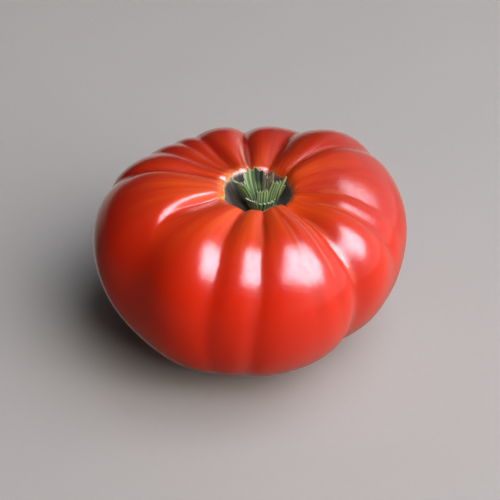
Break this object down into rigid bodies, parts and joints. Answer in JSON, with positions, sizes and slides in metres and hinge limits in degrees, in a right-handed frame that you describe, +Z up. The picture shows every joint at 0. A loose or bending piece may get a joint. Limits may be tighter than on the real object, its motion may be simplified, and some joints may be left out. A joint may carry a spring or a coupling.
{
  "type": "tomato",
  "caption": "Large ribbed beefsteak tomato, folded along deep creases into a stem cavity that holds its trimmed green calyx.",
  "frame": {"origin": "centre of the overall box in X and Y, on the plane the fruit rests on", "axes": "+Z up, -Y towards the side seen in the picture, +X to the picture's right"},
  "size_m": [0.1138, 0.109, 0.0697],
  "materials": {
    "fruit": "smooth waxy glossy skin",
    "calyx": "dull fibrous green, partly dried"
  },
  "bodies": {
    "root": {"fruit": "fruit", "calyx": "calyx"}
  },
  "joints": []
}
